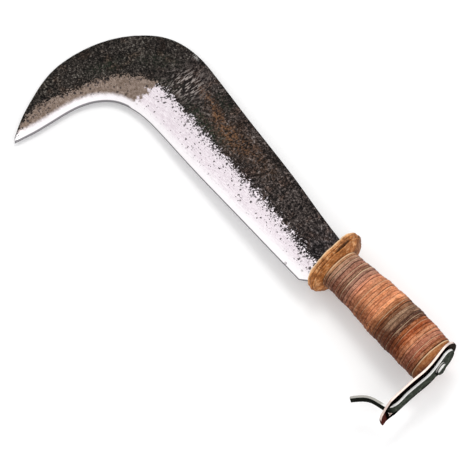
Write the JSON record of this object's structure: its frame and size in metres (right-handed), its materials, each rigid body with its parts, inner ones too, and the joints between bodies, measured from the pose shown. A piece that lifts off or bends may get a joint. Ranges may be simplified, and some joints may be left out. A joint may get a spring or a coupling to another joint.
{
  "type": "hand sickle",
  "caption": "Forged pruning hook with a broad curved beak, a wide ground edge, a stacked-leather grip with disc guard, and a steel belt hook on the pommel.",
  "frame": {"origin": "where the grip axis meets the front face of the guard", "axes": "+X along the grip axis towards the pommel, +Y towards the spine side, +Z square to the blade's flat side"},
  "size_m": [0.4142, 0.1553, 0.045],
  "materials": {
    "blade_steel": "forge scale on the flats, bright ground bevel",
    "hook_steel": "bright, lightly worn",
    "leather_tan": "cut edge, burnished and worn",
    "leather_mauve": "cut edge, burnished and worn",
    "leather_grey": "cut edge, burnished and worn",
    "leather_orange": "cut edge, burnished and worn",
    "leather_brown": "cut edge, darkened by handling"
  },
  "bodies": {
    "root": {"blade": "blade_steel", "guard_disc_1": "leather_tan", "guard_disc_2": "leather_tan", "guard_disc_3": "leather_tan", "collar": "leather_tan", "grip_washer_01": "leather_mauve", "grip_washer_02": "leather_mauve", "grip_washer_03": "leather_mauve", "grip_washer_04": "leather_grey", "grip_washer_05": "leather_grey", "grip_washer_06": "leather_orange", "grip_washer_07": "leather_orange", "grip_washer_08": "leather_orange", "grip_washer_09": "leather_orange", "grip_washer_10": "leather_orange", "grip_washer_11": "leather_orange", "grip_washer_12": "leather_orange", "grip_washer_13": "leather_orange", "grip_washer_14": "leather_orange", "grip_washer_15": "leather_orange", "grip_washer_16": "leather_orange", "grip_washer_17": "leather_brown", "grip_washer_18": "leather_brown", "grip_washer_19": "leather_brown", "grip_washer_20": "leather_brown", "grip_washer_21": "leather_brown", "grip_washer_22": "leather_orange", "grip_washer_23": "leather_orange", "grip_washer_24": "leather_orange", "grip_washer_25": "leather_mauve", "grip_washer_26": "leather_mauve", "grip_washer_27": "leather_mauve", "grip_washer_28": "leather_mauve", "grip_washer_29": "leather_tan", "grip_washer_30": "leather_tan", "grip_washer_31": "leather_tan", "end_cap": "leather_tan", "hook_base_plate": "hook_steel", "hook_strip": "hook_steel", "burr_washer": "hook_steel"}
  },
  "joints": []
}
